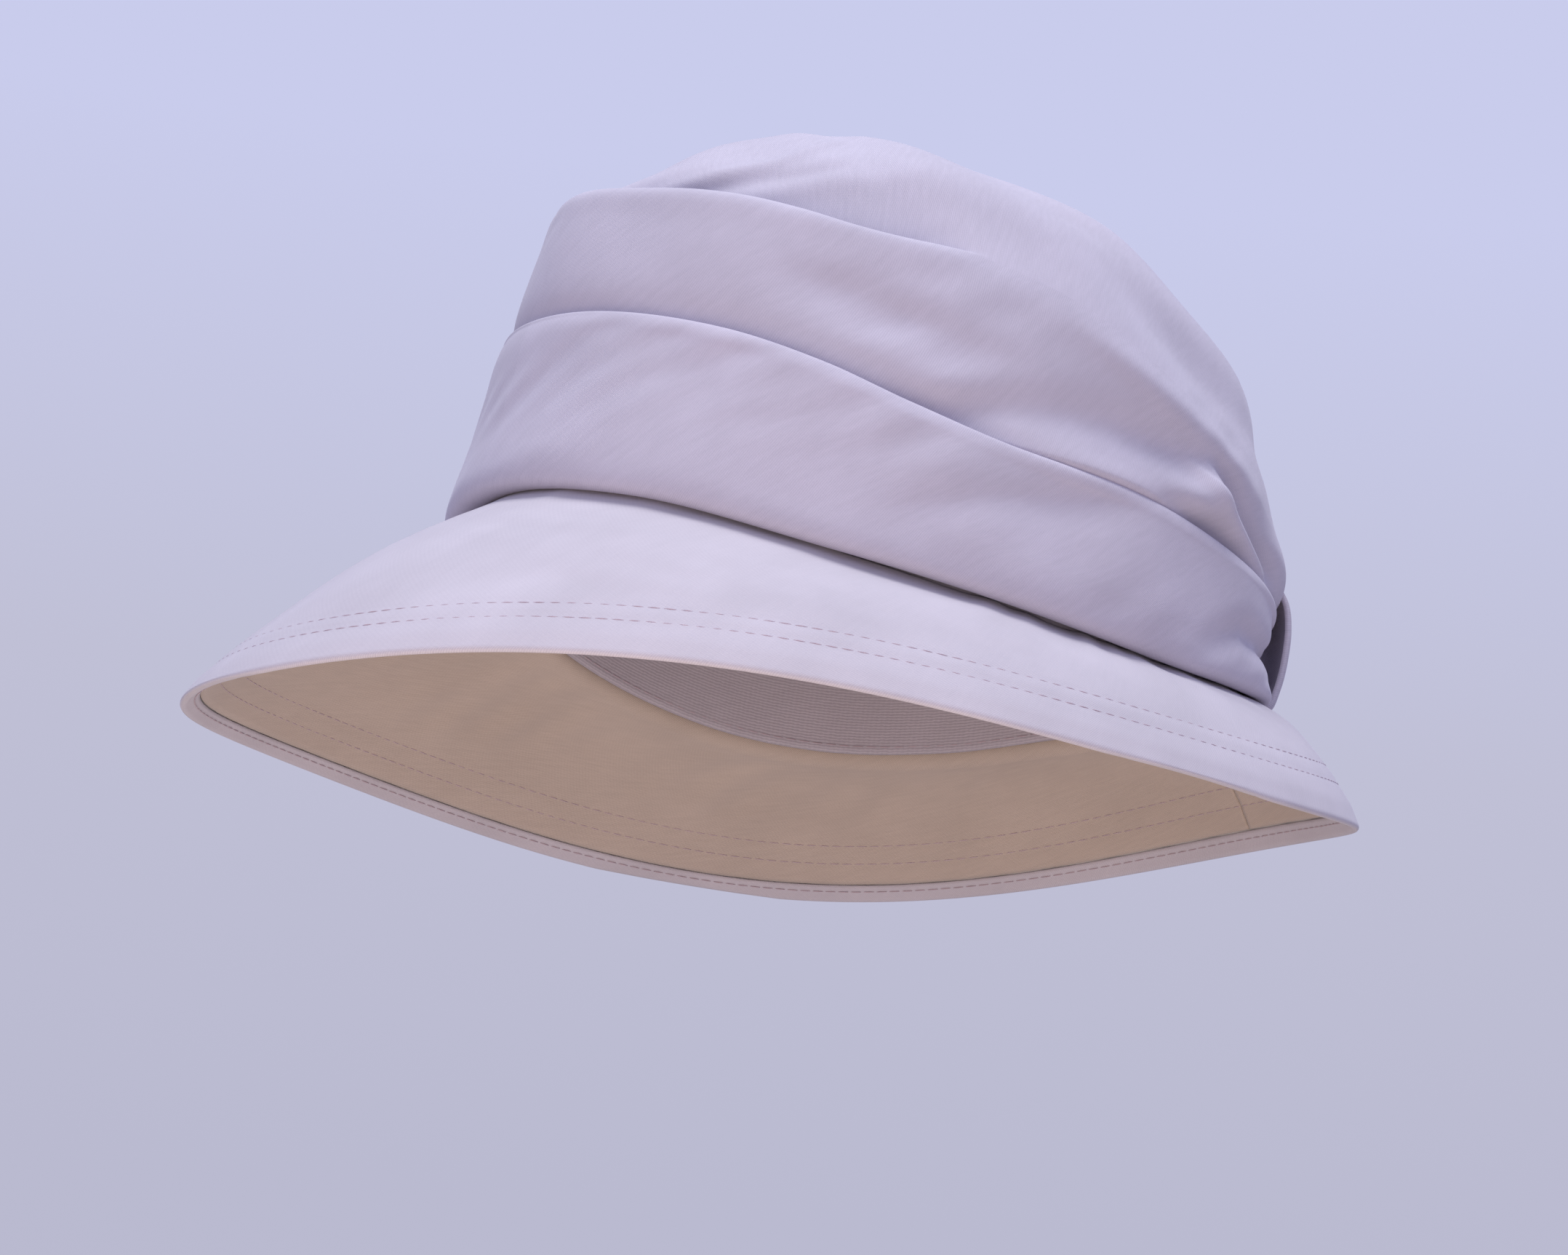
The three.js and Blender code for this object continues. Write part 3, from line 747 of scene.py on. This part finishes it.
# Folds and hollows of the draped cloth: height, fade above, fade below, and the line itself.
DRAPE_FOLDS = [
    # the long ridge from the upper fold down to the loop, crisper as it nears the loop
    (1.1, 14, 9.0, [(60, 127, 0), (74, 121.5, 0.7), (86, 114, 0.9), (97, 105.5, 1), (108, 98, 0.7),
        (122, 91, 0)]),
    (1.2, 5.0, 4.0, [(86, 112, 0), (94, 106, 0.6), (102, 100, 1), (110, 95.5, 1), (119, 92, 1),
        (127, 88.5, 0.7), (138, 84, 0)]),
    # the far side is drawn in above the loop, and full just over it
    (-3.0, 16, 12, [(90, 130, 0), (104, 122, 0.5), (118, 114, 1), (134, 109, 1), (150, 104, 0.8),
        (170, 98, 0)]),
    (-2.3, 18, 14, [(74, 158, 0), (92, 152, 0.6), (110, 146, 1), (130, 140, 1), (150, 134, 0.8),
        (176, 125, 0)]),
    (2.4, 6.5, 8.0, [(132, 78, 0), (142, 77, 0.8), (152, 76, 1), (174, 76, 1), (184, 80, 0.8),
        (196, 85, 0)]),
    # the hollow under the ridge, which bends down to the lower fold
    (-2.5, 6.5, 6.5, [(58, 80, 0), (68, 81, 0.7), (77, 84, 1), (86, 87.5, 1), (94, 88.5, 1),
        (102, 87.5, 1), (110, 86.5, 0.9), (119, 86, 0)]),
    # the fullness between that hollow and the lower fold
    (3.6, 8.0, 6.0, [(68, 74, 0), (82, 73, 0.5), (92, 71.5, 0.9), (101, 71.5, 1), (108, 73.5, 1),
        (114, 77, 0.8), (121, 82, 0)]),
    # a soft hollow under the end of the upper fold, and the fullness under it
    (-1.7, 6.0, 9.0, [(42, 113, 0), (54, 109.5, 0.8), (63, 105, 1), (71, 100, 1), (78, 97, 0.6),
        (88, 96, 0)]),
    (0.7, 7.0, 5.0, [(46, 101, 0), (56, 97, 0.8), (63, 93, 1), (69, 89, 0.9), (76, 86, 0)]),
    # the pinch by the loop, the pocket behind it and the hollow in front of it
    (2.4, 2.6, 4.6, [(109, 87, 0), (113, 83, 0.7), (118, 77.5, 1), (125, 72.9, 1), (132, 70, 1),
        (142, 68, 0)]),
    (-3.2, 3.6, 3.0, [(113, 91, 0), (118.5, 87, 0.9), (122, 82.5, 1), (128, 77, 1),
        (134, 73.5, 1), (146, 71, 0)]),
    (-2.6, 3.4, 4.0, [(100, 73.5, 0), (107, 72.5, 0.7), (114, 71, 1), (122, 69.5, 0.9),
        (130, 68, 0)]),
    # the far side's folds, which the loop gathers in the same way
    (2.0, 8.0, 5.0, [(176, 84, 0), (190, 95, 0.8), (206, 105, 1), (224, 113, 0.6), (240, 119, 0)]),
    (-2.2, 5.0, 6.0, [(178, 78, 0), (192, 84, 1), (208, 90, 1), (226, 97, 0.6), (244, 101, 0)]),
    (1.8, 3.0, 5.0, [(178, 70, 0), (190, 77, 1), (202, 81, 1), (216, 86, 0.5), (230, 90, 0)]),
]

# Two soft pleats over the top, with a hollow between them, behind the upper fold.
TOP_FOLDS = [
    (0.9, 4.0, 3.0, [(8, 136, 0), (20, 137.5, 1), (34, 142.7, 1), (46, 149, 1), (62, 159, 0.6),
        (80, 168, 0)]),
    (-0.9, 3.4, 3.4, [(12, 134, 0), (24, 135.5, 1), (36, 138.5, 1), (50, 143.5, 0.8),
        (70, 153, 0)]),
    (0.6, 4.0, 3.5, [(16, 131, 0), (30, 134, 1), (44, 138, 1), (60, 143, 0.7), (84, 151, 0)]),
]
DRAPE_TURN = 97  # how far the dome's weave is turned from the band's
TOP_GAP = 1.5  # how far from the very top the rows of cloth stop, where one point closes them

# A hollow in the lower fold's side, written in the same way.
LOWER_HOLLOWS = [
    (-1.5, 4.5, 7.0, [(60, 52, 0), (70, 56.5, 0.8), (79, 61.5, 1), (88, 65, 1), (95, 67, 0.7),
        (104, 68, 0)]),
]


def lower_fold():
    """The wide fold round the crown, from the brim up, with both edges turned in."""
    top = climb_at(angles, lower_top(angles))
    flare = bump(from_angle(angles, -20), 0, 42)
    side = 1.6 * (bump(from_angle(angles, 92), 0, 26) + bump(from_angle(angles, 262), 0, 26))
    controls = [
        (2.4 + side, -5.6),
        (1.0 + side, -3.4),
        (0.5 + side, -1.2),
        (1.5 + side, 0.5 + 0.5 * flare),
        (4.2 + side, 1.3 + 0.9 * flare),
        (np.minimum(9.0 + side, 0.3 * top), 1.6 + 0.8 * flare),
        (0.4 * top, 1.5 + 0.2 * flare),
        (0.7 * top, 0.9),
        (0.86 * top, 0.7 - 0.2 * flare),
        (top - np.minimum(2.8, 0.08 * top), 0.7 - 0.8 * flare),
        (top - 0.7, 0.2 - 1.0 * flare),
        (top + 0.3, -0.8),
        (top - 0.2, -1.8),
        (top - 2.2, -2.4),
        (0.74 * top, -2.8),
    ]
    climb, lift = curved(controls, (4, 4, 4, 4, 6, 8, 14, 8, 5, 5, 4, 4, 4, 6))
    around = on_grid(angles, climb)
    share = climb / top[:, None]
    body = smooth(share, 0.03, 0.2) * smooth(1 - share, 0.0, 0.12)
    lift = lift + 0.4 * body * ripples(around, climb, 21, around=(4, 16), length=(40, 120))
    lift = lift + 0.36 * body * drag_lines(around, climb, 23)
    # The loop pulls the fold in at half height, so that it makes two lobes on each side.
    past = np.abs(from_angle(around, LOOP_ANGLE))
    pull = 1 - smooth(past, 18, 70)
    groove = bump(share, 0.45 - 0.018 * np.clip(past - 38, 0, 22), 0.14)
    lift = lift - 3.9 * groove * pull
    lift = lift - 3.2 * body * (1 - smooth(past, 8, 32))
    for fold in LOWER_HOLLOWS:
        lift = lift + ridge(around, climb, *fold) * body
    points = crown_points(angles, climb, lift)
    made = cloth("lower_fold_cloth", points, DRAPE_CLOTH, strip_uv(points), OUTER)
    finished(made, "outer_cloth", "lower_fold")


def crown_drape():
    """The upper fold, the pocket behind it and the cloth over the top, as one length."""
    bottom = climb_at(angles, lower_top(angles))
    top = climb_at(angles, upper_top(angles))
    end = total_climb(angles) - TOP_GAP
    pocket = np.maximum(pocket_depth(angles), 0.3)
    front = bump(from_angle(angles, -25), 0, 55)
    deep = smooth(pocket, 0.4, 6)
    flat = 1 - deep
    spread = flat**4  # where there is no fold, the rows need more room
    flush = bump(from_angle(angles, 94), 0, 14)  # where it lies level with the lower fold
    height = top - bottom
    left = end - top
    controls = [
        (bottom - 8, -4.4),
        (bottom - 1, -4.0),
        (bottom + 1.5, -3.4 + 0.8 * flush),
        (bottom + 0.22 * height, -1.8 + 0.5 * flush),
        (bottom + 0.5 * height, -0.9),
        (bottom + 0.75 * height, -0.5 + 0.2 * deep),
        (top - np.minimum(3.4, 0.15 * height), -0.5 + 0.9 * deep - 0.5 * front),
        (top - 0.9, -0.55 + 0.55 * deep - 1.0 * front),
        (top + 0.3 + 0.6 * flat, -0.6 - 0.8 * deep - 0.8 * front),
        (top - 0.4 * deep + 1.4 * flat + 0.5 * spread, -0.65 - 2.05 * deep),
        (top - pocket * 0.8 + 3.5 * flat, -0.7 - 3.5 * deep),
        (top - pocket * 0.9 + 5.0 * flat, -0.75 - 4.75 * deep),
        (top + 1.0 * deep + 8.0 * flat, -0.8 - 5.0 * deep - 1.2 * front),
        (top + 5.0 * deep + 12.0 * flat + 4.0 * spread, -0.8 - 4.8 * deep - 1.6 * front),
        (top + 0.22 * left + 2, -0.7 - 4.2 * deep - 2.2 * front),
        (top + 0.36 * left + 2, -0.6 - 2.8 * deep - 1.8 * front),
        (top + 0.5 * left + 2, -0.5 - 1.4 * deep - 1.0 * front),
        (top + 0.7 * left + 2, -0.5 - 0.3 * deep),
        (top + 0.85 * left, -0.5),
        (end, -0.5),
    ]
    steps = (4, 4, 12, 18, 16, 10, 5, 4, 3, 8, 3, 8, 4, 8, 8, 8, 10, 6, 6)
    climb, lift = curved(controls, steps)
    around = on_grid(angles, climb)
    above = climb - bottom[:, None]
    body = smooth(above, 1, 7) * (1 - smooth(climb / end[:, None], 0.75, 1.0))
    lift = lift + 0.5 * body * ripples(around, climb, 31, around=(3, 12), length=(45, 140))
    calm = 1 - 0.85 * bump(from_angle(around, 140), 0, 34)
    calm = calm * (1 - 0.9 * smooth(climb / end[:, None], 0.4, 0.62))
    lift = lift + 0.24 * body * calm * drag_lines(around, climb, 33)
    behind = np.arange(climb.shape[1]) > sum(steps[:9])
    shown = smooth(above, -0.8, 1.5)
    for fold in DRAPE_FOLDS:
        lift = lift + ridge(around, climb, *fold) * shown
    for fold in TOP_FOLDS:
        lift = lift + ridge(around, climb, *fold) * behind
    points = crown_points(angles, climb, lift)
    pole = points[:, -1].mean(axis=0) + np.array([0, 0, 0.1])
    weave_above = (top_uv(angles, climb, DRAPE_TURN), np.full(COLUMNS, sum(steps[:8])))
    uv = strip_uv(points)
    made = cloth(
        "crown_drape_cloth", points, DRAPE_CLOTH, uv, OUTER, pole=pole, split=weave_above
    )
    finished(made, "outer_cloth", "upper_fold", "top_drape")


lower_fold()
crown_drape()


# -------- loop
def back_loop():
    """The strip that stands over the lower fold and gathers it."""
    across = np.linspace(LOOP_ANGLE - LOOP_HALF, LOOP_ANGLE + LOOP_HALF, 40)
    fold = climb_at(across, lower_top(across))
    controls = [
        (0.4, -0.4),
        (1.4, 1.4),
        (5.0, 2.6),
        (0.45 * fold, 3.7),
        (0.75 * fold, 4.4),
        (fold, 4.5),
        (fold + 5.6, 3.8),
        (fold + 9.4, 1.8),
        (fold + 11.2, -1.0),
    ]
    climb, lift = curved(controls, (5, 6, 8, 8, 8, 8, 8, 8), len(across))
    edge = np.abs(across - LOOP_ANGLE)[:, None] / LOOP_HALF
    lift = lift - 0.5 * smooth(edge, 0.86, 1.0) + 0.15 * bump(edge, 0.75, 0.05)
    points = crown_points(across, climb, lift)
    made = cloth("back_loop_cloth", points, 1.5, strip_uv(points, False), LOOP, wrap=False)
    finished(made, "outer_cloth", "back_loop")


back_loop()


# -------- inside
# Heights of the layers inside, off the outline, and the sweatband's inner face.
LINING_LIFT, BAND_LIFT, BAND_FACE, LABEL_LIFT = -10.1, -11.5, -11.95, -12.35
LINING_JOIN = 3.6  # the level where the lining's side meets its top


def above_seam(angle, rise):
    """Distance up the outline to a height above the seam, at each angle."""
    return climb_at(angle, seam_height(angle) + rise)


def rows_between(low, high, rows):
    """Evenly spaced rows from one distance up the outline to another."""
    return low[:, None] + (high - low)[:, None] * np.linspace(0, 1, rows)[None, :]


def lining_join():
    climbs = columns_between(TABLE_CLIMB, inside_angles)
    return np.array([np.interp(LINING_JOIN, TABLE_LEVELS, climb) for climb in climbs])


def lining_side():
    climb = rows_between(above_seam(inside_angles, 6), lining_join(), 24)
    around = on_grid(inside_angles, climb)
    panels = -0.5 * sum(bump(from_angle(around, seam), 0, 1.6) for seam in (0, 90, 180, 270))
    waves = ripples(around, climb, 41, around=(5, 22), length=(30, 90))
    waves = 0.35 * np.minimum(waves, 0.2)  # out towards the stiff crown only a little
    points = crown_points(inside_angles, climb, LINING_LIFT + (waves + panels))
    made = cloth("lining_side_cloth", points, 0.5, strip_uv(points), LINING)
    finished(made, "lining", "lining_side")


def sweatband():
    rows = 20
    climb = rows_between(above_seam(inside_angles, 1.2), above_seam(inside_angles, 31), rows)
    roll = 0.3 * bump(np.linspace(0, 1, rows), 0.93, 0.05)  # a soft roll near the upper edge
    relief = roll + 0.12 * np.sin(np.radians(on_grid(inside_angles, climb)) * 9)
    points = crown_points(inside_angles, climb, BAND_LIFT + relief)
    made = cloth("sweatband_cloth", points, 0.9, strip_uv(points), BAND)
    finished(made, "sweatband", "sweatband")


def lining_tip():
    end = total_climb(inside_angles) - TOP_GAP
    climb = rows_between(lining_join() + 0.6, end, 30)
    around = on_grid(inside_angles, climb)
    waves = 0.3 * ripples(around, climb, 43, around=(3, 9), length=(30, 80))
    waves = waves * (1 - smooth(climb / end[:, None], 0.8, 1.0))
    points = crown_points(inside_angles, climb, LINING_LIFT + waves)
    pole = points[:, -1].mean(axis=0)
    uv = top_uv(inside_angles, climb)
    made = cloth("lining_tip_cloth", points, 0.5, uv, LINING, pole=pole)
    finished(made, "lining", "lining_tip")


lining_side()
sweatband()
lining_tip()


def on_band(rise, lift):
    """The place function for a row of stitches on the sweatband."""

    def place(at):
        climb = above_seam(at, rise)[:, None]
        base = crown_points(at, climb, np.full_like(climb, lift))[:, 0]
        inner = crown_points(at, climb, np.full_like(climb, lift - 1))[:, 0]
        return base, unit(inner - base)

    return place


stitches("stitches_sweatband", on_band(3.2, BAND_FACE), 560.0, "sweatband_stitch")


def label():
    across = np.linspace(172, 188, 30)
    climb = rows_between(above_seam(across, 8), above_seam(across, 24), 20)
    points = crown_points(across, climb, np.full_like(climb, LABEL_LIFT))
    made = cloth("label_cloth", points, 0.3, strip_uv(points, False), LABEL, wrap=False)
    finished(made, "label", "label")


label()

# -------- hidden layers kept from the CAD
for node_name, material in (("brim_stiffener", STIFF), ("crown_base", OUTER)):
    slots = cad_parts[node_name].data.materials
    slots.clear()
    slots.append(material)

# -------- floor, light and camera
SIDE, FLOOR_LEVEL = 8.0, -1.25  # in metres; the hat is at a head's height, not on the floor
floor_mesh = bpy.data.meshes.new("floor")
floor_mesh.from_pydata(
    [(-SIDE, -SIDE, 0), (SIDE, -SIDE, 0), (SIDE, SIDE, 0), (-SIDE, SIDE, 0)], [], [(0, 1, 2, 3)]
)
floor = add_object("floor", floor_mesh)
floor.location.z = FLOOR_LEVEL
floor_material, _, floor_shader = new_material("floor")
set_inputs(floor_shader, {"Base Color": srgb(208, 196, 184), "Roughness": 0.9})
floor_mesh.materials.append(floor_material)

world = bpy.data.worlds.new("studio")
bpy.context.scene.world = world
world.use_nodes = True
sky = world.node_tree
sky.nodes.clear()


def sky_ramp(stops, strength):
    """A background whose colour changes with height, from (height, colour) stops."""
    direction = add_node(sky, "ShaderNodeTexCoord", {})
    split = add_node(sky, "ShaderNodeSeparateXYZ", {"Vector": direction.outputs["Generated"]})
    height = add_node(sky, "ShaderNodeMapRange", {"Value": split.outputs["Z"], "From Min": -1.0})
    ramp = add_node(sky, "ShaderNodeValToRGB", {"Fac": height.outputs["Result"]})
    while len(ramp.color_ramp.elements) < len(stops):
        ramp.color_ramp.elements.new(0.5)
    for element, (place, colour) in zip(ramp.color_ramp.elements, stops):
        element.position = (place + 1) / 2
        element.color = colour
    shine = {"Color": ramp.outputs["Color"], "Strength": strength}
    return add_node(sky, "ShaderNodeBackground", shine).outputs["Background"]


BACKDROP = [
    (-0.05, srgb(184, 184, 206)),
    (0.09, srgb(186, 186, 208)),
    (0.22, srgb(192, 192, 214)),
    (0.36, srgb(201, 204, 236)),
]
GLOW = [
    (-1.0, srgb(216, 190, 160)),
    (-0.15, srgb(190, 182, 196)),
    (0.05, srgb(162, 167, 240)),
    (0.5, srgb(192, 200, 250)),
    (1.0, srgb(226, 232, 255)),
]
# The camera sees the backdrop, and the glow lights the hat.
path = add_node(sky, "ShaderNodeLightPath", {})
mixed = {"Fac": path.outputs["Is Camera Ray"], 1: sky_ramp(GLOW, 0.66), 2: sky_ramp(BACKDROP, 1.0)}
mix_sky = add_node(sky, "ShaderNodeMixShader", mixed)
add_node(sky, "ShaderNodeOutputWorld", {"Surface": mix_sky.outputs["Shader"]})


def area_light(name, place, target, size, power, colour):
    """A round light, in metres and watts, that points at its target."""
    light = bpy.data.lights.new(name, "AREA")
    light.shape = "DISK"
    light.size = size
    light.energy = power
    light.color = colour
    made = add_object(name, light)
    made.location = place
    made.rotation_euler = (Vector(target) - Vector(place)).to_track_quat("-Z", "Y").to_euler()


HAT = (0, 0, 0.09)  # the middle of the hat, in metres
area_light("key", (0.28, -0.1, 1.9), HAT, 0.9, 29.5, (0.87, 0.89, 0.945))
area_light("front", (0.15, -0.9, 0.25), HAT, 0.7, 1.1, (0.8, 0.86, 1.0))
area_light("bounce", (0.25, -0.2, -0.2), HAT, 0.5, 0.95, (1.0, 0.84, 0.74))
area_light("fill", (0.8, 0.35, 0.05), HAT, 0.7, 0.6, (0.84, 0.86, 1.0))

# The photograph's viewing angle, matched to the hat's outline in it.
CAMERA_PLACE = (0.7762, -0.4442, -0.1807)
CAMERA_RIGHT = Vector((0.51365, 0.85278, 0.09453))
CAMERA_UP = Vector((0.16366, -0.20553, 0.96487))
camera_data = bpy.data.cameras.new("camera")
camera_data.lens = 85
camera_data.sensor_width = 36
camera_data.clip_start = 0.01
camera = add_object("camera", camera_data)
back = CAMERA_RIGHT.cross(CAMERA_UP)
turn_matrix = Matrix((CAMERA_RIGHT, CAMERA_UP, back)).transposed()
camera.matrix_world = Matrix.Translation(CAMERA_PLACE) @ turn_matrix.to_4x4()
bpy.context.scene.camera = camera
bpy.context.scene.view_settings.view_transform = "Standard"
